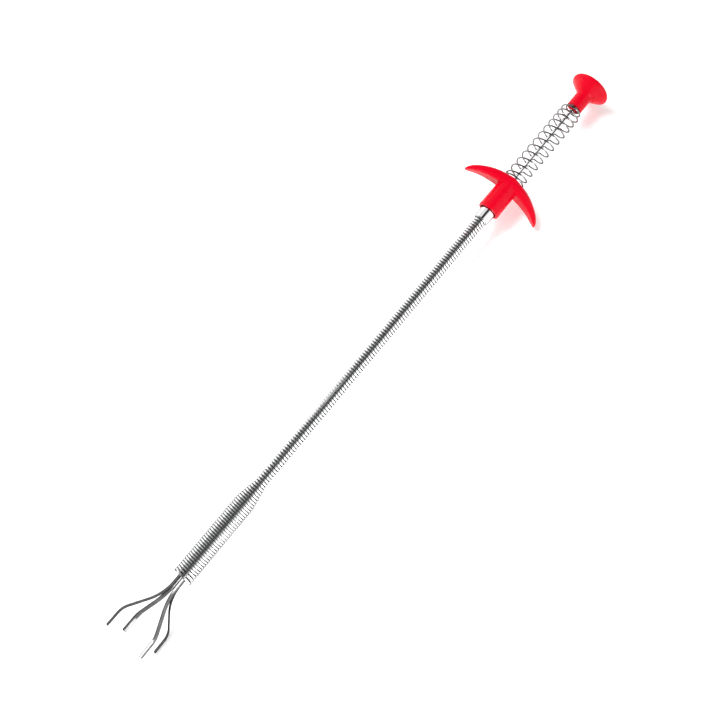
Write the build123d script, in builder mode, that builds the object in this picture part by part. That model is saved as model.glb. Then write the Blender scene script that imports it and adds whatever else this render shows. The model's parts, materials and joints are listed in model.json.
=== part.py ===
"""Flexible four-claw drain auger (pick-up claw), 600 mm long.

The tool lies along X on a flat surface, as it comes to rest: on two claws and the rim of the knob, with
its finger grip leaning. The push knob is at +X, the claws are at -X and +Z points up. The origin is on
that surface, halfway along the tool.
Millimetres throughout. The pose is the one with the claws out and the knob part way down its travel.
"""

from build123d import *
from math import atan2, cos, degrees, radians, sin, sqrt
import os

# ---- stations along the axis, from the knob down to the claw tips ----
KNOB_TOP_X = 300.0
NECK_END_X = 272.8
SEAT_X = 186.6
COLLAR_END_X = 152.7
SLEEVE_END_X = 142.4
TAPER_START_X = -137.5
BELL_START_X = -164.8
MOUTH_X = -237.0
CLAW_TIP_X = -300.0

# ---- knob ----
# points of the outline are (station, radius)
KNOB_RADIUS = 17.5
NECK_RADIUS = 7.0
NECK_TOP_X = 287.2
NECK_FILLET = 4.5
NECK_FOOT_CHAMFER = 0.4
UNDERSIDE_EDGE = (294.0, 16.2)
RIM = (296.0, KNOB_RADIUS)
CROWN_EDGE = (297.8, 16.6)
CROWN_MIDDLE = (299.3, 12.4)
KNOB_FLAT_RADIUS = 7.5
ROD_SOCKET_DEPTH = 14.0

# ---- plunger rod: a tube crimped over the cable ----
ROD_RADIUS = 1.75
ROD_BORE_RADIUS = 1.25
ROD_END_X = 130.0
ROD_BORE_TOP_X = 200.0

# ---- return spring ----
SPRING_WIRE_RADIUS = 0.6
SPRING_MEAN_RADIUS = 9.2
SPRING_TOP_MEAN_RADIUS = 6.3
SPRING_TURNS = 11
SPRING_CONE_HEIGHT = 5.0

# ---- finger grip ----
GRIP_HALF_SPAN = 38.6
GRIP_TOP_RADIUS = 52.6
GRIP_APEX_X = 187.5
GRIP_UNDERSIDE_X = 177.4
GRIP_THICKNESS = 10.2
GRIP_TIP_THICKNESS = 4.0
GRIP_THICKNESS_POWER = 1.2
GRIP_DEPTH = 19.0
GRIP_TIP_DEPTH = 6.6
GRIP_TIP_ROUNDING = 3.6
GRIP_CORNER_SHARE = 0.42
COLLAR_TOP_RADIUS = 9.5
COLLAR_END_RADIUS = 9.8
COLLAR_LIP_FILLET = 1.1
COLLAR_MOUTH_RADIUS = 7.9
COLLAR_MOUTH_DEPTH = 5.0
ROD_HOLE_RADIUS = 1.85
SPRING_SEAT_RADIUS = 10.4
SPRING_SEAT_CUT = 5.0

# ---- sleeve and casing ----
SLEEVE_RADIUS = 6.75
SLEEVE_MOUTH_FILLET = 0.5
SLEEVE_TOP_X = 170.0
CASING_RADIUS = 5.5
CASING_WALL = 2.4
CASING_TOP_X = 168.0
BELL_RADIUS = 9.0
BELL_WALL = 2.2
FLEX_X = [100.0, 42.0, -16.0, -74.0]

# ---- pull cable ----
CABLE_RADIUS = 1.2
CABLE_TOP_X = 184.0
CABLE_END_X = -167.0

# ---- claws: spring-steel strips crimped in a ferrule on the cable's end ----
CLAW_WIDTH = 3.6
CLAW_THICKNESS = 0.6
CLAW_ANGLES_FROM_GRIP = [29.5, 125.5, 207.5, 288.5]
CLAW_SHORTFALLS = [1.5, 0.0, 4.0, 0.0]
CLAW_ROOT_X = MOUTH_X + 31.0
CLAW_ROOT_RADIUS = 2.7
CLAW_BEND_X = MOUTH_X - 18.5
CLAW_BEND_RADIUS = 3.45
CLAW_BEND_ARC = 35.0
CLAW_SHOULDER_X = MOUTH_X - 45.8
CLAW_SHOULDER_RADIUS = 23.9
CLAW_SHOULDER_ARC = 14.0
CLAW_TIP_RADIUS = 24.3
CLAW_PIVOT_X = MOUTH_X - 12.0
CLAW_PIVOT_GAP = 0.5
FERRULE_RADIUS = 4.5
FERRULE_BORE_RADIUS = 3.7
FERRULE_END_X = MOUTH_X + 19.0
FERRULE_BACK_X = MOUTH_X + 34.0
FERRULE_BACK_CONE = 1.5
TAIL_RADIUS = 1.9
TAIL_TOP_X = -131.0

# ---- how it rests: rolled until the third and fourth claws stand level ----
ROLL = 270.0 - (CLAW_ANGLES_FROM_GRIP[2] + CLAW_ANGLES_FROM_GRIP[3]) / 2
claw_angles = [angle + ROLL for angle in CLAW_ANGLES_FROM_GRIP]
foot_angle = radians(claw_angles[3])
AXIS_Z = CLAW_WIDTH / 2 * cos(foot_angle) - (CLAW_TIP_RADIUS + CLAW_THICKNESS / 2) * sin(foot_angle)

AXIS = Axis((0, 0, AXIS_Z), (1, 0, 0))
# sketches of turned parts are drawn here: local x runs along the tool, local y is the radius
TURNING = Plane(origin=(0, 0, AXIS_Z), x_dir=(1, 0, 0), z_dir=(0, -1, 0))

os.makedirs("parts", exist_ok=True)
written = []


def save(builder, name):
    """Label a finished piece and write it as its own STEP file."""
    builder.part.label = name
    export_step(builder.part, f"parts/{name}.step")
    written.append(name)


def cross_section(x):
    """The plane square to the tool's axis at x, with its normal towards the knob."""
    return Plane(origin=(x, 0, AXIS_Z), x_dir=(0, 1, 0), z_dir=(1, 0, 0))


def tube(start_x, end_x, outer, inner):
    """A straight tube along the axis."""
    with BuildPart() as piece:
        with BuildSketch(cross_section(start_x)):
            Circle(outer)
            if inner:
                Circle(inner, mode=Mode.SUBTRACT)
        extrude(amount=end_x - start_x)
    return piece


# ---- knob: neck, shallow flared underside, round rim and a low crown with a flat for the thumb ----
with BuildPart() as knob:
    with BuildSketch(TURNING):
        with BuildLine():
            Line((NECK_END_X, 0), (NECK_END_X, NECK_RADIUS))
            Polyline((NECK_END_X, NECK_RADIUS), (NECK_TOP_X, NECK_RADIUS), UNDERSIDE_EDGE)
            ThreePointArc(UNDERSIDE_EDGE, RIM, CROWN_EDGE)
            ThreePointArc(CROWN_EDGE, CROWN_MIDDLE, (KNOB_TOP_X, KNOB_FLAT_RADIUS))
            Polyline((KNOB_TOP_X, KNOB_FLAT_RADIUS), (KNOB_TOP_X, 0), (NECK_END_X, 0))
        make_face()
    revolve(axis=AXIS)
    circles = edges().filter_by(GeomType.CIRCLE)
    fillet(circles.filter_by_position(Axis.X, NECK_TOP_X - 0.1, NECK_TOP_X + 0.1), NECK_FILLET)
    neck_foot = edges().filter_by(GeomType.CIRCLE).group_by(Axis.X)[0].sort_by(SortBy.RADIUS)[-1]
    chamfer(neck_foot, NECK_FOOT_CHAMFER)
    with BuildSketch(cross_section(NECK_END_X)):
        Circle(ROD_RADIUS)
    extrude(amount=ROD_SOCKET_DEPTH, mode=Mode.SUBTRACT)
save(knob, "knob")

# ---- plunger rod, pressed into the knob; its blind bore slides over the cable ----
with BuildPart() as plunger_rod:
    with BuildSketch(cross_section(ROD_END_X)):
        Circle(ROD_RADIUS)
    extrude(amount=NECK_END_X + ROD_SOCKET_DEPTH - ROD_END_X)
    with BuildSketch(cross_section(ROD_END_X)):
        Circle(ROD_BORE_RADIUS)
    extrude(amount=ROD_BORE_TOP_X - ROD_END_X, mode=Mode.SUBTRACT)
save(plunger_rod, "plunger_rod")

# ---- return spring: a flat ring on the grip, open turns, and a last turn that narrows to the neck ----
spring_start_x = SEAT_X + SPRING_WIRE_RADIUS
spring_end_x = NECK_END_X - SPRING_WIRE_RADIUS
cone_start_x = spring_end_x - SPRING_CONE_HEIGHT
spring_pitch = (cone_start_x - spring_start_x) / SPRING_TURNS
cone_angle = -degrees(atan2(SPRING_MEAN_RADIUS - SPRING_TOP_MEAN_RADIUS, SPRING_CONE_HEIGHT))
with BuildPart() as return_spring:
    for x, mean_radius in ((spring_start_x, SPRING_MEAN_RADIUS), (spring_end_x, SPRING_TOP_MEAN_RADIUS)):
        with BuildSketch(TURNING):
            with Locations((x, mean_radius)):
                Circle(SPRING_WIRE_RADIUS)
        revolve(axis=AXIS)
    with BuildLine() as open_turns:
        Helix(
            pitch=spring_pitch,
            height=spring_pitch * SPRING_TURNS,
            radius=SPRING_MEAN_RADIUS,
            center=(spring_start_x, 0, AXIS_Z),
            direction=(1, 0, 0),
        )
    with BuildSketch(Plane(origin=open_turns.line @ 0, z_dir=open_turns.line % 0)):
        Circle(SPRING_WIRE_RADIUS)
    sweep(path=open_turns.line, is_frenet=True)
    with BuildLine() as last_turn:
        Helix(
            pitch=SPRING_CONE_HEIGHT,
            height=SPRING_CONE_HEIGHT,
            radius=SPRING_MEAN_RADIUS,
            center=(cone_start_x, 0, AXIS_Z),
            direction=(1, 0, 0),
            cone_angle=cone_angle,
        )
    with BuildSketch(Plane(origin=last_turn.line @ 0, z_dir=last_turn.line % 0)):
        Circle(SPRING_WIRE_RADIUS)
    sweep(path=last_turn.line, is_frenet=True)
save(return_spring, "return_spring")

# ---- handle: a crescent finger grip and the collar that holds the sleeve, moulded in one ----
def grip_section(reach):
    """Centre station, depth and thickness of the crescent at a distance out along a wing."""
    share = abs(reach) / GRIP_HALF_SPAN
    top_x = GRIP_APEX_X - GRIP_TOP_RADIUS + sqrt(GRIP_TOP_RADIUS**2 - reach**2)
    fullness = (1 - share**2) ** GRIP_THICKNESS_POWER
    thickness = GRIP_TIP_THICKNESS + (GRIP_THICKNESS - GRIP_TIP_THICKNESS) * fullness
    depth = GRIP_TIP_DEPTH + (GRIP_DEPTH - GRIP_TIP_DEPTH) * (1 - share**2)
    into_tip = max(0, abs(reach) - GRIP_HALF_SPAN + GRIP_TIP_ROUNDING) / GRIP_TIP_ROUNDING
    narrowing = sqrt(1 - into_tip**2)
    return top_x - thickness / 2, depth * narrowing, thickness * narrowing


# four even steps along a wing, then three closer ones round its tip
grip_stations = [step * (GRIP_HALF_SPAN - GRIP_TIP_ROUNDING) / 4 for step in range(5)]
grip_stations += [GRIP_HALF_SPAN - share * GRIP_TIP_ROUNDING for share in (0.36, 0.08)]
grip_stations = [-reach for reach in reversed(grip_stations[1:])] + grip_stations
with BuildPart() as handle:
    for reach in grip_stations:
        centre_x, depth, thickness = grip_section(reach)
        centre = (centre_x, reach * cos(radians(ROLL)), AXIS_Z + reach * sin(radians(ROLL)))
        across = (0, -sin(radians(ROLL)), cos(radians(ROLL)))
        along = (0, cos(radians(ROLL)), sin(radians(ROLL)))
        with BuildSketch(Plane(origin=centre, x_dir=across, z_dir=along)):
            RectangleRounded(depth, thickness, GRIP_CORNER_SHARE * thickness)
    loft()
    # the collar, slightly wider at its lower end
    with BuildSketch(TURNING):
        Polygon(
            (COLLAR_END_X, 0),
            (COLLAR_END_X, COLLAR_END_RADIUS),
            (GRIP_UNDERSIDE_X, COLLAR_TOP_RADIUS),
            (SEAT_X, COLLAR_TOP_RADIUS),
            (SEAT_X, 0),
            align=None,
        )
    revolve(axis=AXIS)
    # a flat seat for the spring, cut into the crown of the crescent
    with BuildSketch(cross_section(SEAT_X)):
        Circle(SPRING_SEAT_RADIUS)
    extrude(amount=SPRING_SEAT_CUT, mode=Mode.SUBTRACT)
    collar_lip = edges().filter_by(GeomType.CIRCLE).group_by(Axis.X)[0]
    fillet(collar_lip, COLLAR_LIP_FILLET)
    # bored for the sleeve from below and for the plunger rod right through
    for radius, start_x, end_x in (
        (COLLAR_MOUTH_RADIUS, COLLAR_END_X, COLLAR_END_X + COLLAR_MOUTH_DEPTH),
        (SLEEVE_RADIUS, COLLAR_END_X, SLEEVE_TOP_X),
        (ROD_HOLE_RADIUS, COLLAR_END_X, SEAT_X),
    ):
        with BuildSketch(cross_section(start_x)):
            Circle(radius)
        extrude(amount=end_x - start_x, mode=Mode.SUBTRACT)
save(handle, "handle")

# ---- chromed sleeve that grips the casing's end ----
with BuildPart() as sleeve:
    with BuildSketch(TURNING):
        with Locations(((SLEEVE_END_X + SLEEVE_TOP_X) / 2, (SLEEVE_RADIUS + CASING_RADIUS) / 2)):
            Rectangle(SLEEVE_TOP_X - SLEEVE_END_X, SLEEVE_RADIUS - CASING_RADIUS)
    revolve(axis=AXIS)
    sleeve_mouth = edges().filter_by(GeomType.CIRCLE).group_by(Axis.X)[0].sort_by(SortBy.RADIUS)[-1]
    fillet(sleeve_mouth, SLEEVE_MOUTH_FILLET)
save(sleeve, "sleeve")

# ---- casing: the close-wound tube, in lengths that bend against each other, then a taper and a bell ----
casing_bore = CASING_RADIUS - CASING_WALL
bell_bore = BELL_RADIUS - BELL_WALL
casing_ends = [CASING_TOP_X, *FLEX_X, TAPER_START_X]
for number in range(1, len(casing_ends)):
    length = tube(casing_ends[number], casing_ends[number - 1], CASING_RADIUS, casing_bore)
    save(length, f"casing_{number}")
with BuildPart() as taper:
    with BuildSketch(TURNING):
        Polygon(
            (TAPER_START_X, casing_bore),
            (TAPER_START_X, CASING_RADIUS),
            (BELL_START_X, BELL_RADIUS),
            (BELL_START_X, bell_bore),
            align=None,
        )
    revolve(axis=AXIS)
save(taper, "taper")
save(tube(MOUTH_X, BELL_START_X, BELL_RADIUS, bell_bore), "bell")

# ---- pull cable, in the same lengths as the casing ----
cable_ends = [CABLE_TOP_X, *FLEX_X, CABLE_END_X]
for number in range(1, len(cable_ends)):
    length = tube(cable_ends[number], cable_ends[number - 1], CABLE_RADIUS, 0)
    save(length, f"cable_{number}")

# ---- claw ferrule: a crimped cup for the four strips, with a tail that slides over the cable ----
with BuildPart() as claw_ferrule:
    with BuildSketch(TURNING):
        with BuildLine():
            Polyline(
                (CLAW_ROOT_X, 0),
                (CLAW_ROOT_X, FERRULE_BORE_RADIUS),
                (FERRULE_END_X, FERRULE_BORE_RADIUS),
                (FERRULE_END_X, FERRULE_RADIUS),
                (FERRULE_BACK_X, FERRULE_RADIUS),
                (FERRULE_BACK_X + FERRULE_BACK_CONE, TAIL_RADIUS),
                (TAIL_TOP_X, TAIL_RADIUS),
                (TAIL_TOP_X, ROD_BORE_RADIUS),
                (FERRULE_BACK_X, ROD_BORE_RADIUS),
                (FERRULE_BACK_X, 0),
                close=True,
            )
        make_face()
    revolve(axis=AXIS)
save(claw_ferrule, "claw_ferrule")


def claw_plane(angle):
    """The plane through the axis that a claw lies in: local x along the tool, local y outwards."""
    return Plane(
        origin=(0, 0, AXIS_Z),
        x_dir=(1, 0, 0),
        z_dir=(0, -sin(radians(angle)), cos(radians(angle))),
    )


def claw_piece(angle, shortfall, near_x, far_x):
    """The stretch between two stations of one bent strip, which stops short of the longest ones."""
    with BuildPart() as piece:
        with BuildSketch(claw_plane(angle)):
            with BuildLine():
                inner = FilletPolyline(
                    (CLAW_ROOT_X, CLAW_ROOT_RADIUS - CLAW_THICKNESS / 2),
                    (CLAW_BEND_X, CLAW_BEND_RADIUS - CLAW_THICKNESS / 2),
                    (CLAW_SHOULDER_X + shortfall, CLAW_SHOULDER_RADIUS - CLAW_THICKNESS / 2),
                    (CLAW_TIP_X + shortfall, CLAW_TIP_RADIUS - CLAW_THICKNESS / 2),
                    radius=[CLAW_BEND_ARC, CLAW_SHOULDER_ARC],
                )
                offset(inner, amount=CLAW_THICKNESS, side=Side.RIGHT)
            make_face()
        extrude(amount=CLAW_WIDTH / 2, both=True)
        split(bisect_by=cross_section(near_x), keep=Keep.BOTTOM)
        split(bisect_by=cross_section(far_x), keep=Keep.TOP)
    return piece


# ---- four claws, each a straight shank and a hooked end that swings at the bend ----
for number, (angle, shortfall) in enumerate(zip(claw_angles, CLAW_SHORTFALLS), start=1):
    shank = claw_piece(angle, shortfall, CLAW_ROOT_X, CLAW_PIVOT_X + CLAW_PIVOT_GAP / 2)
    save(shank, f"claw_{number}_shank")
    hook = claw_piece(angle, shortfall, CLAW_PIVOT_X - CLAW_PIVOT_GAP / 2, CLAW_TIP_X)
    save(hook, f"claw_{number}_hook")

print(len(written), "pieces:", ", ".join(written))
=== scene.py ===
"""Looks of the flexible four-claw drain auger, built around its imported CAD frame.

Frame: metres, +X towards the push knob, +Z up. The tool rests on two claws and the rim of the knob, so its
finger grip leans out of level. Lengths below are in millimetres unless their name ends in _m.
"""
import json
import math

import bpy
import numpy as np
from mathutils import Matrix, Vector


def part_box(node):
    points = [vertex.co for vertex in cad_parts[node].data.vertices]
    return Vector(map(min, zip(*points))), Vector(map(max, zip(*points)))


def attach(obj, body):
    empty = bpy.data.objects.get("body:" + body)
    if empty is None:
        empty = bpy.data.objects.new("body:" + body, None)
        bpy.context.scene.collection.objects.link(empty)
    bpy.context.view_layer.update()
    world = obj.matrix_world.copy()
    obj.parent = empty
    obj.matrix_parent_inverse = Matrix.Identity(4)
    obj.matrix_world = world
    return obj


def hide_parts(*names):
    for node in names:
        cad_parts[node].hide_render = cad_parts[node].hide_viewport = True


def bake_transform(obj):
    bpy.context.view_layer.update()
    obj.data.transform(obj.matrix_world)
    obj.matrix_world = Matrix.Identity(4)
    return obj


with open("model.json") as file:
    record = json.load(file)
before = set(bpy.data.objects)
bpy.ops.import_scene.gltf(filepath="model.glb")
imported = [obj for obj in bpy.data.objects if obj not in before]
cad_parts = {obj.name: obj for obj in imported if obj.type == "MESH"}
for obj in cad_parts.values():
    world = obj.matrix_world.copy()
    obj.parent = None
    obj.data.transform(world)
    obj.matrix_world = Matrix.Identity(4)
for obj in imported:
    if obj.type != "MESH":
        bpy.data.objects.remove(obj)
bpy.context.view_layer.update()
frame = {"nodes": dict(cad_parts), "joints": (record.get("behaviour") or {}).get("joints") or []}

MM = 0.001
TURN = 2 * math.pi

# ---- stations that the CAD frame gives ----
low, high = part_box("bell")
AXIS_Z = (low.z + high.z) / 2 / MM
MOUTH_X = low.x / MM
BELL_RADIUS = (high.z - low.z) / 2 / MM
BELL_START_X = high.x / MM
TAPER_START_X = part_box("taper")[1].x / MM
low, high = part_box("casing_1")
CASING_TOP_X = high.x / MM
CASING_RADIUS = (high.z - low.z) / 2 / MM
SEAT_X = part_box("return_spring")[0].x / MM
NECK_END_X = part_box("return_spring")[1].x / MM
CLAW_ROOT_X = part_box("claw_1_shank")[1].x / MM
joints = {joint["name"]: joint for joint in frame["joints"]}

# ---- the side that faces the camera leans out of level, nearly as the finger grip does ----
VIEW_LEAN = math.radians(20.5)

# ---- casing wire; its cut end stands up at the mouth, and the last turns slant ----
CASING_WIRE_RADIUS = 1.2
CASING_PITCH = 2.6
BELL_WIRE_RADIUS = 1.1
BELL_PITCH = 2.25
WIRE_END_ANGLE = VIEW_LEAN - math.radians(18)
WIRE_END_RISE = 1.6
WIRE_END_TURNS = 0.1
MOUTH_TURNS = 3
MOUTH_SKEW = 2.4
BEND_REACH = 29.0
CASING_WIRE_STEPS_PER_TURN = 36
CASING_WIRE_SIDES = 10

# ---- pull cable; it bends over a shorter reach than the casing, clear of the rod and the ferrule ----
CABLE_STEP = 2.0
CABLE_SIDES = 16
CABLE_BEND_REACH = 16.0

# ---- return spring ----
SPRING_WIRE_RADIUS = 0.68
SPRING_MEAN_RADIUS = 9.2
SPRING_TOP_MEAN_RADIUS = 5.0
SPRING_OPEN_TURNS = 12.1
SPRING_CLOSED_TURNS = 1.0
SPRING_CROWDED_TURNS = 5.0
SPRING_CROWDING = 0.07
SPRING_NARROWING_TURNS = 2.0
SPRING_EASING_TURNS = 0.5
SPRING_START_ANGLE = math.radians(225.7)
SPRING_STEPS_PER_TURN = 48
SPRING_SIDES = 12

# ---- claws ----
CLAW_WIDTH = 3.6
CLAW_THICKNESS = 0.6
CLAW_ROOT_RADIUS = 2.7
CLAW_BEND = (MOUTH_X - 18.5, 3.45)
CLAW_BEND_ARC = 35.0
CLAW_HOOK_LENGTH = 17.2
CLAW_SHOULDER_RADIUS = 23.9
CLAW_SHOULDER_ARC = 14.0
CLAW_TIP_RADIUS = 24.3
CLAW_STEP = 0.9
CLAW_EDGE_ROUNDING = 0.14
CLAW_TIP_NARROWING = 0.22
CLAW_TIP_NARROWING_LENGTH = 0.9
# how far apart the claws are on their material, so that no two show the same marks
CLAW_MARKS_SHIFT = 97.0


# =====================================================================================================
# mesh helpers
# =====================================================================================================
def around(x, radius, angle):
    """Points at stations x, distances radius from the tool's axis and angles from +Y towards +Z."""
    return np.stack([x, radius * np.cos(angle), AXIS_Z + radius * np.sin(angle)], axis=-1)


def unit(vectors):
    return vectors / np.linalg.norm(vectors, axis=-1, keepdims=True)


def skin(name, rings, lengthwise, girthwise):
    """A closed tube through rings of points, with flat ends and a UV map in millimetres.

    rings is (ring, point, xyz) in millimetres, lengthwise the distance along the tube at each ring, and
    girthwise the distance round the section at each point, with one more value for the closing seam.
    """
    count, sides = rings.shape[:2]
    ring, side = np.meshgrid(np.arange(count - 1), np.arange(sides), indexing="ij")
    following = (side + 1) % sides
    here, there = ring * sides, (ring + 1) * sides
    quads = np.stack([here + side, here + following, there + following, there + side], axis=-1)
    first_cap = list(range(sides))[::-1]
    last_cap = [(count - 1) * sides + point for point in range(sides)]
    mesh = bpy.data.meshes.new(name)
    faces = quads.reshape(-1, 4).tolist() + [first_cap, last_cap]
    mesh.from_pydata((rings.reshape(-1, 3) * MM).tolist(), [], faces)
    u = np.stack([lengthwise[ring], lengthwise[ring], lengthwise[ring + 1], lengthwise[ring + 1]], axis=-1)
    v = np.stack([girthwise[side], girthwise[side + 1], girthwise[side + 1], girthwise[side]], axis=-1)
    caps = np.zeros((2 * sides, 2))
    uv = np.concatenate([np.stack([u, v], axis=-1).reshape(-1, 2), caps])
    layer = mesh.uv_layers.new(name="surface")
    layer.data.foreach_set("uv", uv.astype(np.float32).ravel())
    mesh.shade_smooth()
    ends = np.zeros((len(mesh.edges), 2), np.int32)
    mesh.edges.foreach_get("vertices", ends.ravel())
    on_cap = (ends < sides).all(axis=1) | (ends >= (count - 1) * sides).all(axis=1)
    sharp = mesh.attributes.new("sharp_edge", "BOOLEAN", "EDGE")
    sharp.data.foreach_set("value", on_cap)
    piece = bpy.data.objects.new(name, mesh)
    bpy.context.scene.collection.objects.link(piece)
    return piece


def wire(name, centres, radii, angles, sides):
    """A round wire wound about the tool's axis. Its UV map starts on the side away from the axis."""
    along = unit(np.gradient(centres, axis=0))
    outward = np.stack([np.zeros_like(angles), np.cos(angles), np.sin(angles)], axis=-1)
    sideways = unit(np.cross(along, outward))
    outward = np.cross(sideways, along)
    turn = np.arange(sides) / sides * TURN
    rings = centres[:, None] + radii[:, None, None] * (
        np.cos(turn)[None, :, None] * outward[:, None] + np.sin(turn)[None, :, None] * sideways[:, None]
    )
    steps = np.linalg.norm(np.diff(centres, axis=0), axis=1)
    lengthwise = np.concatenate([[0], np.cumsum(steps)])
    girthwise = np.arange(sides + 1) / sides
    return skin(name, rings, lengthwise, girthwise)


# =====================================================================================================
# materials
# =====================================================================================================
class Nodes:
    """Short ways to build a node tree."""

    def __init__(self, tree):
        self.tree = tree

    def add(self, kind, **settings):
        """A new node. Settings that name an input socket set it, or link it if they are an output."""
        node = self.tree.nodes.new(kind)
        for key, value in settings.items():
            if key in node.bl_rna.properties and not isinstance(value, bpy.types.NodeSocket):
                setattr(node, key, value)
            else:
                self.feed(node.inputs[key.replace("_", " ")], value)
        return node

    def feed(self, socket, value):
        if isinstance(value, bpy.types.NodeSocket):
            self.tree.links.new(value, socket)
        else:
            socket.default_value = value

    def noise(self, vector, scale, detail=3.0, roughness=0.55):
        settings = {"Scale": scale, "Detail": detail, "Roughness": roughness}
        return self.add("ShaderNodeTexNoise", Vector=vector, **settings).outputs["Fac"]

    def ramp(self, factor, *stops):
        """A colour ramp with (position, colour) stops. A single number as colour is a grey."""
        node = self.add("ShaderNodeValToRGB", Fac=factor)
        elements = node.color_ramp.elements
        while len(elements) < len(stops):
            elements.new(0.5)
        for element, (position, colour) in zip(elements, stops):
            element.position = position
            element.color = (*colour, 1) if isinstance(colour, tuple) else (colour, colour, colour, 1)
        return node.outputs["Color"]

    def spread(self, factor, low, high, out_low, out_high):
        """Maps low to high onto out_low to out_high, and holds the ends."""
        ends = {"From_Min": low, "From_Max": high, "To_Min": out_low, "To_Max": out_high}
        return self.add("ShaderNodeMapRange", Value=factor, **ends).outputs["Result"]

    def math(self, operation, first, second=0.0):
        node = self.add("ShaderNodeMath", operation=operation)
        self.feed(node.inputs[0], first)
        self.feed(node.inputs[1], second)
        return node.outputs[0]

    def mix(self, factor, first, second, blend_type="MIX"):
        node = self.add("ShaderNodeMix", data_type="RGBA", blend_type=blend_type)
        self.feed(node.inputs[0], factor)
        self.feed(node.inputs[6], first)
        self.feed(node.inputs[7], second)
        return node.outputs[2]

    def bump(self, height, distance_m, strength=1.0, under=None):
        node = self.add("ShaderNodeBump", Height=height, Distance=distance_m, Strength=strength)
        if under is not None:
            self.feed(node.inputs["Normal"], under)
        return node.outputs["Normal"]


class Surface(Nodes):
    """A Principled material. Keywords name the shader's sockets, with _ for a space."""

    def __init__(self, name, **sockets):
        self.material = bpy.data.materials.new(name)
        self.material.use_nodes = True
        super().__init__(self.material.node_tree)
        self.shader = self.tree.nodes["Principled BSDF"]
        for socket, value in sockets.items():
            self.shader.inputs[socket.replace("_", " ")].default_value = value

    def place(self, bends, stretch=(1, 1, 1)):
        """Where a point is on the material: on the UV map of a piece that bends, or else in space."""
        if bends:
            source = self.add("ShaderNodeUVMap", uv_map="surface").outputs["UV"]
        else:
            source = self.add("ShaderNodeTexCoord").outputs["Object"]
        return self.add("ShaderNodeMapping", Vector=source, Scale=stretch).outputs["Vector"]

    def out(self, **links):
        for socket, value in links.items():
            self.feed(self.shader.inputs[socket.replace("_", " ")], value)
        return self.material


# how bright bare and plated metal stays where it turns away from the eye
EDGE_GREY = 0.15
# over what share of the wire's girth the painted shade in the grooves between turns fades out
GROOVE_SHADE_FADE = 0.12


def red_plastic():
    """Glossy moulded plastic with a faint orange peel, fine handling scratches and uneven gloss."""
    look = Surface("red_plastic", Specular_IOR_Level=0.12, Subsurface_Weight=0.05, Subsurface_Scale=0.002)
    here = look.place(bends=False)
    cloud = look.noise(here, 60.0)
    colour = look.ramp(cloud, (0.3, (0.62, 0.001, 0.014)), (0.75, (0.69, 0.0015, 0.018)))
    peel = look.noise(here, 420.0, detail=2.0)
    scratches = look.noise(look.place(bends=False, stretch=(260, 2600, 900)), 1.0, detail=1.0)
    smear = look.noise(here, 170.0, detail=5.0, roughness=0.7)
    roughness = look.spread(smear, 0.3, 0.75, 0.2, 0.32)
    normal = look.bump(scratches, 0.000002)
    normal = look.bump(peel, 0.000012, under=normal)
    return look.out(Base_Color=colour, Roughness=roughness, Normal=normal)


def plated(name, bends, tint, roughness_low, roughness_high, drawn, groove):
    """Bright plating: drawing lines along the wire, patchy gloss and, between turns, painted shade in the
    grooves, a dark mottled colour.

    groove is how far the painted shade reaches out from the wire's inner side, as a share of its girth.
    """
    look = Surface(name, Metallic=1.0, Specular_Tint=(EDGE_GREY, EDGE_GREY, EDGE_GREY, 1))
    unit_scale = 1.0 if bends else 1 / MM
    here = look.place(bends)
    patch = look.noise(here, 0.11 * unit_scale, detail=4.0, roughness=0.65)
    fine = look.noise(look.place(bends, stretch=(0.4, drawn, drawn)), 1.2 * unit_scale, detail=2.0)
    colour = look.ramp(patch, (0.3, tuple(0.86 * value for value in tint)), (0.65, tint))
    roughness = look.spread(patch, 0.3, 0.8, roughness_low, roughness_high)
    if groove:
        girth = look.add("ShaderNodeSeparateXYZ", Vector=here).outputs["Y"]
        inward = look.math("ABSOLUTE", look.math("SUBTRACT", look.math("FRACT", girth), 0.5))
        depth = look.spread(inward, groove, groove - GROOVE_SHADE_FADE, 0.0, 1.0)
        # painted shade: the grooves between turns get a dark mottled colour where shadow falls, and a
        # duller gloss
        painted_groove_shade = look.ramp(look.noise(here, 0.7), (0.3, (0.07, 0.07, 0.07)), (0.7, (0.14, 0.138, 0.133)))
        colour = look.mix(depth, colour, painted_groove_shade)
        roughness = look.math("ADD", roughness, look.math("MULTIPLY", depth, 0.35))
    normal = look.bump(fine, 0.000004)
    return look.out(Base_Color=colour, Roughness=roughness, Normal=normal)


def claw_steel():
    """Rolled spring-steel strip: rolling lines along it, a temper tint, pits, and darker sheared edges."""
    look = Surface("claw_steel", Metallic=1.0, Specular_Tint=(EDGE_GREY, EDGE_GREY, EDGE_GREY, 1))
    here = look.place(bends=True)
    lines = look.noise(look.place(bends=True, stretch=(0.05, 3.5, 1.0)), 2.0, detail=3.0)
    tint = look.noise(here, 0.09, detail=3.0)
    colour = look.ramp(tint, (0.35, (0.10, 0.10, 0.102)), (0.7, (0.17, 0.168, 0.168)))
    pits = look.ramp(look.noise(here, 1.3, detail=4.0, roughness=0.7), (0.60, 1.0), (0.68, 0.25))
    colour = look.mix(1.0, colour, pits, blend_type="MULTIPLY")
    girth = look.add("ShaderNodeSeparateXYZ", Vector=here).outputs["Y"]
    # the girth runs from the middle of the outer face, so an edge lies a quarter of the way round
    over_edge = look.math("PINGPONG", girth, CLAW_WIDTH + CLAW_THICKNESS)
    off_edge = look.math("ABSOLUTE", look.math("SUBTRACT", over_edge, (CLAW_WIDTH + CLAW_THICKNESS) / 2))
    sheared = look.spread(off_edge, 0.40, 0.30, 0.0, 1.0)
    colour = look.mix(sheared, colour, (0.03, 0.03, 0.032, 1))
    roughness = look.spread(lines, 0.3, 0.7, 0.16, 0.28)
    roughness = look.math("ADD", roughness, look.math("MULTIPLY", sheared, 0.2))
    normal = look.bump(lines, 0.00001)
    return look.out(Base_Color=colour, Roughness=roughness, Normal=normal)


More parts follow.
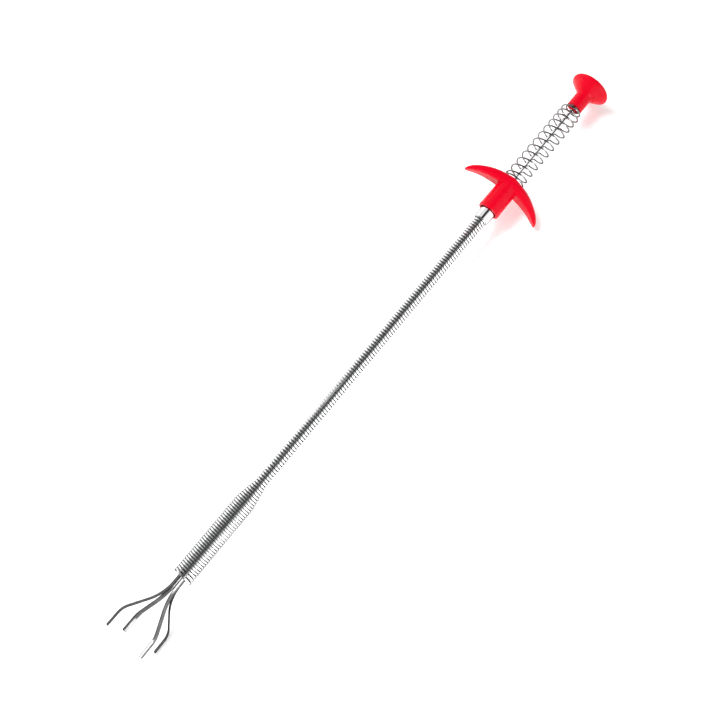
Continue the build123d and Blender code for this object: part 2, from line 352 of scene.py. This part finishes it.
def turned_steel():
    """Dull crimped steel with fine turning marks."""
    look = Surface("turned_steel", Metallic=1.0)
    here = look.place(bends=False)
    marks = look.noise(look.place(bends=False, stretch=(3000, 60, 60)), 1.0, detail=2.0)
    cloud = look.noise(here, 260.0, detail=4.0)
    colour = look.ramp(cloud, (0.3, (0.26, 0.26, 0.265)), (0.7, (0.40, 0.395, 0.39)))
    roughness = look.spread(marks, 0.3, 0.7, 0.25, 0.45)
    return look.out(Base_Color=colour, Roughness=roughness, Normal=look.bump(marks, 0.00002))


RED = red_plastic()
CHROME = plated("chrome", False, (0.90, 0.905, 0.91), 0.04, 0.12, 1.0, None)
CASING_WIRE = plated("casing_wire", True, (0.90, 0.905, 0.91), 0.06, 0.16, 6.0, 0.41)
SPRING_WIRE = plated("spring_wire", True, (0.30, 0.305, 0.31), 0.05, 0.13, 6.0, None)
CABLE_WIRE = plated("cable_wire", True, (0.52, 0.52, 0.52), 0.2, 0.32, 6.0, None)
CLAW_STEEL = claw_steel()
TURNED_STEEL = turned_steel()


def dress(obj, material):
    obj.data.materials.clear()
    obj.data.materials.append(material)


# =====================================================================================================
# casing: one wire, close wound, that widens into the bell; a length for each body that it runs through
# =====================================================================================================
def casing_line():
    """Stations, winding radii, wire radii and angles of the casing's wire, from the collar to the mouth."""
    first_x = CASING_TOP_X - CASING_WIRE_RADIUS
    last_x = MOUTH_X + BELL_WIRE_RADIUS
    stations = [first_x]
    while stations[-1] > last_x:
        share = np.clip((TAPER_START_X - stations[-1]) / (TAPER_START_X - BELL_START_X), 0, 1)
        pitch = CASING_PITCH + share * (BELL_PITCH - CASING_PITCH)
        stations.append(stations[-1] - pitch / CASING_WIRE_STEPS_PER_TURN)
    x = np.array(stations)
    share = np.clip((TAPER_START_X - x) / (TAPER_START_X - BELL_START_X), 0, 1)
    share = share * share * (3 - 2 * share)
    wire_radius = CASING_WIRE_RADIUS + share * (BELL_WIRE_RADIUS - CASING_WIRE_RADIUS)
    radius = CASING_RADIUS + share * (BELL_RADIUS - CASING_RADIUS) - wire_radius
    turns = np.arange(len(x)) / CASING_WIRE_STEPS_PER_TURN
    angle = WIRE_END_ANGLE + (turns - turns[-1]) * TURN
    to_end = np.clip(1 - (turns[-1] - turns) / WIRE_END_TURNS, 0, 1)
    radius = radius + WIRE_END_RISE * to_end**2
    near_mouth = np.clip(1 - (turns[-1] - turns) / MOUTH_TURNS, 0, 1)
    x = x - MOUTH_SKEW * near_mouth**1.5 * (1 - np.cos(angle - WIRE_END_ANGLE)) / 2
    return x, radius, wire_radius, angle


def bending_wire(name, material, line, sides, bend_reach, replaced):
    """A wire in a length for each body that it runs through, which bend about the casing's hinges."""
    x, radius, wire_radius, angle = line
    centres = around(x, radius, angle)
    bodies = ["handle", "casing_b", "casing_c", "casing_d", "head"]
    hinges = [joints[f"casing_flex_{number}"]["pos_m"][0] / MM for number in range(1, 5)]
    start = 0
    for number, (body, nodes) in enumerate(zip(bodies, replaced)):
        last = number == len(hinges)
        stop = len(x) - 1 if last else int(np.searchsorted(-x, bend_reach - hinges[number]))
        span = slice(start, stop + 1)
        piece = wire(f"{name}_{number + 1}", centres[span], wire_radius[span], angle[span], sides)
        dress(piece, material)
        if last:
            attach(piece, body)
        else:
            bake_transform(piece)
        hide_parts(*nodes)
        start = stop


def casing():
    replaced = [[f"casing_{number}"] for number in range(1, 5)] + [["casing_5", "taper", "bell"]]
    sides = CASING_WIRE_SIDES
    bending_wire("casing_coil", CASING_WIRE, casing_line(), sides, BEND_REACH, replaced)


def cable():
    """The pull cable, a straight strand down the middle of the casing."""
    top_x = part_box("cable_1")[1].x / MM
    low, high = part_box("cable_5")
    x = np.arange(top_x, low.x / MM, -CABLE_STEP)
    x[-1] = low.x / MM
    on_axis = np.zeros_like(x)
    strand_radius = np.full_like(x, (high.z - low.z) / 2 / MM)
    replaced = [[f"cable_{number}"] for number in range(1, 6)]
    line = (x, on_axis, strand_radius, on_axis)
    bending_wire("cable_strand", CABLE_WIRE, line, CABLE_SIDES, CABLE_BEND_REACH, replaced)


# =====================================================================================================
# return spring: a closed turn on the grip, open turns, and a closed turn that narrows under the knob's neck
# =====================================================================================================
def return_spring():
    total = SPRING_OPEN_TURNS + 2 * SPRING_CLOSED_TURNS
    turns = np.arange(int(total * SPRING_STEPS_PER_TURN) + 1) / SPRING_STEPS_PER_TURN
    closed_pitch = 2 * SPRING_WIRE_RADIUS
    into_open = np.clip((turns - SPRING_CLOSED_TURNS) / SPRING_EASING_TURNS, 0, 1)
    out_of_open = np.clip((total - SPRING_CLOSED_TURNS - turns) / SPRING_EASING_TURNS, 0, 1)
    openness = np.minimum(into_open, out_of_open)
    crowded = np.clip(turns - (total - SPRING_CLOSED_TURNS - SPRING_CROWDED_TURNS), 0, None)
    open_share = openness * (1 - SPRING_CROWDING * crowded)
    height = NECK_END_X - SEAT_X - 2 * SPRING_WIRE_RADIUS
    step_share = open_share / open_share.sum()
    closed_steps = (1 - openness) * closed_pitch / SPRING_STEPS_PER_TURN
    steps = closed_steps + step_share * (height - closed_steps.sum())
    x = SEAT_X + SPRING_WIRE_RADIUS + np.cumsum(steps) - steps[0]
    narrowing = np.clip((turns - (total - SPRING_NARROWING_TURNS)) / SPRING_NARROWING_TURNS, 0, 1)
    narrowing = narrowing * narrowing * (3 - 2 * narrowing)
    radius = SPRING_MEAN_RADIUS + narrowing * (SPRING_TOP_MEAN_RADIUS - SPRING_MEAN_RADIUS)
    angle = SPRING_START_ANGLE + turns * TURN
    wire_radius = np.full_like(x, SPRING_WIRE_RADIUS)
    piece = wire("return_spring_wire", around(x, radius, angle), wire_radius, angle, SPRING_SIDES)
    dress(piece, SPRING_WIRE)
    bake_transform(piece)
    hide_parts("return_spring")


# =====================================================================================================
# claws: four bent strips that come out of the bell
# =====================================================================================================
def rounded_route(points, arcs, step):
    """A polyline in the plane with its inner corners turned into arcs, as closely spaced points."""
    points = [Vector(point) for point in points]
    route = [points[0]]
    for before, corner, after, radius in zip(points, points[1:], points[2:], arcs):
        incoming = (before - corner).normalized()
        outgoing = (after - corner).normalized()
        half_turn = (math.pi - incoming.angle(outgoing)) / 2
        reach = radius * math.tan(half_turn)
        centre = corner + (incoming + outgoing).normalized() * radius / math.cos(half_turn)
        first = corner + incoming * reach - centre
        last = corner + outgoing * reach - centre
        count = max(4, int(2 * half_turn * radius / step))
        turned = first.angle_signed(last)
        for index in range(count + 1):
            route.append(centre + Matrix.Rotation(-turned * index / count, 2) @ first)
    route.append(points[-1])
    spaced = [route[0]]
    for previous, following in zip(route, route[1:]):
        count = max(1, round((following - previous).length / step))
        spaced += [previous.lerp(following, (index + 1) / count) for index in range(count)]
    return np.array([list(point) for point in spaced])


def strip_section(width, thickness, corner):
    """Points round a strip's section, across and through it, from the middle of its outer face."""
    across, through = width / 2, thickness / 2
    inset = corner * (1 - math.cos(math.pi / 4))
    quarter = [(across - corner, through), (across - inset, through - inset), (across, through - corner)]
    right = quarter + [(u, -v) for u, v in reversed(quarter)]
    left = [(-u, v) for u, v in reversed(right)]
    middle = [(0, through)]
    return np.array(middle + right + [(0, -through)] + left)


def claw(number):
    """One bent strip, which swings where it leaves the bell."""
    pivot_m = joints[f"claw_{number}_swing"]["pos_m"]
    angle = math.atan2(pivot_m[2] / MM - AXIS_Z, pivot_m[1] / MM)
    tip_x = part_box(f"claw_{number}_hook")[0].x / MM
    shoulder = (tip_x + CLAW_HOOK_LENGTH, CLAW_SHOULDER_RADIUS)
    route = rounded_route(
        [(CLAW_ROOT_X, CLAW_ROOT_RADIUS), CLAW_BEND, shoulder, (tip_x, CLAW_TIP_RADIUS)],
        [CLAW_BEND_ARC, CLAW_SHOULDER_ARC],
        CLAW_STEP,
    )
    along = unit(np.gradient(route, axis=0))
    outward = np.stack([-along[:, 1], along[:, 0]], axis=-1)
    outward *= np.sign(outward[:, 1:2])
    section = strip_section(CLAW_WIDTH, CLAW_THICKNESS, CLAW_EDGE_ROUNDING)
    to_tip = np.linalg.norm(route - route[-1], axis=1)
    at_tip = np.clip(1 - to_tip / CLAW_TIP_NARROWING_LENGTH, 0, 1)
    narrowing = 1 - CLAW_TIP_NARROWING * at_tip**2
    in_plane = route[:, None] + section[None, :, 1:2] * outward[:, None]
    across = section[None, :, 0] * narrowing[:, None]
    radial = np.array([0, math.cos(angle), math.sin(angle)])
    tangent = np.array([0, -math.sin(angle), math.cos(angle)])
    rings = in_plane[..., 1:2] * radial + across[..., None] * tangent
    rings += in_plane[..., 0:1] * np.array([1, 0, 0]) + np.array([0, 0, AXIS_Z])
    steps = np.linalg.norm(np.diff(route, axis=0), axis=1)
    lengthwise = np.concatenate([[0], np.cumsum(steps)]) + CLAW_MARKS_SHIFT * number
    closed = np.concatenate([section, section[:1]])
    girthwise = np.concatenate([[0], np.cumsum(np.linalg.norm(np.diff(closed, axis=0), axis=1))])
    # the section is walked the other way round, from the same point, so that its faces point outwards
    rings = np.roll(rings[:, ::-1], 1, axis=1)
    piece = skin(f"claw_{number}_strip", rings, lengthwise, girthwise)
    dress(piece, CLAW_STEEL)
    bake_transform(piece)
    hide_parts(f"claw_{number}_shank", f"claw_{number}_hook")


casing()
cable()
return_spring()
for number in range(1, 5):
    claw(number)

# ---- pieces whose CAD shape stays ----
for node in ("knob", "handle"):
    dress(frame["nodes"][node], RED)
for node in ("plunger_rod", "sleeve"):
    dress(frame["nodes"][node], CHROME)
dress(frame["nodes"]["claw_ferrule"], TURNED_STEEL)


# =====================================================================================================
# floor, light and camera
# =====================================================================================================
FLOOR_HALF_M = 4.0
FLOOR_GLOW = 0.27
SURROUND = 0.95
BACKDROP = 0.95
# the dark panels: angles from overhead towards +Y, and how far they reach along the tool
SLOT_MIDDLE, SLOT_HALF_WIDTH, SLOT_DARKNESS = 6, 16, 0.97
PANEL_LOW, PANEL_HIGH, PANEL_HIGH_AT_ENDS, PANEL_DARKNESS = -26, 56, 115, 0.8
GAP_MIDDLE, GAP_HALF_LENGTH, SLOT_HALF_LENGTH = 0.15, 0.22, 0.40
# the bright walls: their middles and half widths as angles, and how much brighter they are
LEFT_WALL, RIGHT_WALL = (86, 16, 0.5), (-50, 22, 0.3)
# the camera aims at a point along the tool and a little to its side
AIM_X, AIM_ASIDE = -14.3, 2.4
CAMERA_DISTANCE_M = 0.8532
CAMERA_TILT = math.radians(9)
CAMERA_ROLL = math.radians(39.9)
CAMERA_LENS = 52.25


def lean(x, y, z):
    """A direction given square to the side that faces the camera."""
    return Matrix.Rotation(VIEW_LEAN, 3, "X") @ Vector((x, y, z))


def floor():
    """A plain pale sheet, with a faint glow that keeps shadows light."""
    half_m = FLOOR_HALF_M
    mesh = bpy.data.meshes.new("floor")
    corners = [(-half_m, -half_m, 0), (half_m, -half_m, 0), (half_m, half_m, 0), (-half_m, half_m, 0)]
    mesh.from_pydata(corners, [], [(0, 1, 2, 3)])
    sheet = bpy.data.objects.new("floor", mesh)
    bpy.context.scene.collection.objects.link(sheet)
    look = Surface("floor", Roughness=0.9, Specular_IOR_Level=0.0)
    look.shader.inputs["Emission Color"].default_value = (1, 1, 1, 1)
    look.shader.inputs["Emission Strength"].default_value = FLOOR_GLOW
    grain = look.noise(look.place(bends=False), 40.0)
    dress(sheet, look.out(Base_Color=look.ramp(grain, (0.3, 0.955), (0.7, 0.965))))


def studio():
    """A white surround with a black slot overhead and grey panels at its ends, for the metal to mirror."""
    world = bpy.data.worlds.new("studio")
    bpy.context.scene.world = world
    world.use_nodes = True
    look = Nodes(world.node_tree)

    def within(value, middle, half, edge):
        """1 where value is within half of middle, with a soft edge."""
        distance = look.math("ABSOLUTE", look.math("SUBTRACT", value, middle))
        return look.spread(distance, half + edge, half - edge, 0, 1)

    direction = look.add("ShaderNodeTexCoord").outputs["Generated"]
    leaning = look.add("ShaderNodeVectorRotate", rotation_type="X_AXIS", Vector=direction, Angle=-VIEW_LEAN)
    parts = look.add("ShaderNodeSeparateXYZ", Vector=leaning.outputs["Vector"])
    lengthways = parts.outputs["X"]
    sideways = look.math("DEGREES", look.math("ARCTAN2", parts.outputs["Y"], parts.outputs["Z"]))
    slot = look.math(
        "MULTIPLY",
        within(sideways, SLOT_MIDDLE, SLOT_HALF_WIDTH, 3),
        within(lengthways, GAP_MIDDLE, SLOT_HALF_LENGTH, 0.05),
    )
    endways = look.math("ABSOLUTE", lengthways)
    high_side = look.spread(endways, 0.45, 0.75, PANEL_HIGH, PANEL_HIGH_AT_ENDS)
    above_low = look.spread(sideways, PANEL_LOW - 3, PANEL_LOW + 3, 0, 1)
    below_high = look.spread(look.math("SUBTRACT", sideways, high_side), 8, -8, 0, 1)
    off_middle = look.math("SUBTRACT", 1.0, within(lengthways, GAP_MIDDLE, GAP_HALF_LENGTH, 0.04))
    panel = look.math("MULTIPLY", look.math("MULTIPLY", above_low, below_high), off_middle)
    past_slot = look.math("SUBTRACT", 1.0, look.math("MULTIPLY", slot, SLOT_DARKNESS))
    past_panel = look.math("SUBTRACT", 1.0, look.math("MULTIPLY", panel, PANEL_DARKNESS))
    walls = SURROUND
    for middle, half, extra in (LEFT_WALL, RIGHT_WALL):
        walls = look.math("ADD", walls, look.math("MULTIPLY", within(sideways, middle, half, 6), extra))
    background = world.node_tree.nodes["Background"]
    background.inputs["Color"].default_value = (1, 1, 1, 1)
    strength = look.math("MULTIPLY", look.math("MULTIPLY", past_slot, past_panel), walls)
    # the panels light and mirror in the object, and the backdrop behind it stays plain
    seen = look.add("ShaderNodeLightPath").outputs["Is Camera Ray"]
    unseen = look.math("MULTIPLY", strength, look.math("SUBTRACT", 1.0, seen))
    strength = look.math("ADD", unseen, look.math("MULTIPLY", seen, BACKDROP))
    look.feed(background.inputs["Strength"], strength)


def softbox(name, place, aim, size_m, power, mirrored=True):
    """A round lamp that points at aim. One that isn't mirrored doesn't show in glossy surfaces."""
    light = bpy.data.lights.new(name, "AREA")
    light.shape = "DISK"
    light.size = size_m
    light.energy = power
    lamp = bpy.data.objects.new(name, light)
    lamp.location = place
    lamp.rotation_mode = "QUATERNION"
    lamp.rotation_quaternion = (aim - place).to_track_quat("-Z", "Y")
    lamp.visible_glossy = mirrored
    bpy.context.scene.collection.objects.link(lamp)


def camera():
    """Looks at the grip's broad side, tilted towards the claws, with the handle at the upper right."""
    aim = Vector((AIM_X, 0, AXIS_Z)) * MM + lean(0, AIM_ASIDE * MM, 0)
    back = lean(-math.sin(CAMERA_TILT), 0, math.cos(CAMERA_TILT))
    along = lean(math.cos(CAMERA_TILT), 0, math.sin(CAMERA_TILT))
    aside = lean(0, -1, 0)
    up = math.cos(CAMERA_ROLL) * along - math.sin(CAMERA_ROLL) * aside
    right = math.cos(CAMERA_ROLL) * aside + math.sin(CAMERA_ROLL) * along
    data = bpy.data.cameras.new("camera")
    data.lens = CAMERA_LENS
    data.sensor_width = 36.0
    data.clip_start = 0.05
    data.clip_end = 20.0
    eye = bpy.data.objects.new("camera", data)
    turned = Matrix((right, up, back)).transposed().to_4x4()
    eye.matrix_world = Matrix.Translation(aim + back * CAMERA_DISTANCE_M) @ turned
    bpy.context.scene.collection.objects.link(eye)
    bpy.context.scene.camera = eye


floor()
studio()
centre = Vector((0, 0, AXIS_Z * MM))
key_place = centre + lean(0.1, 0.9, 0.75)
softbox("key", key_place, centre, size_m=0.6, power=13.0, mirrored=False)
mouth = Vector((MOUTH_X * MM, 0, AXIS_Z * MM))
claw_light_place = mouth + lean(-0.05, -0.5, 0.33)
softbox("claw_light", claw_light_place, mouth, size_m=0.35, power=3.4)
camera()
bpy.context.scene.view_settings.view_transform = "Standard"
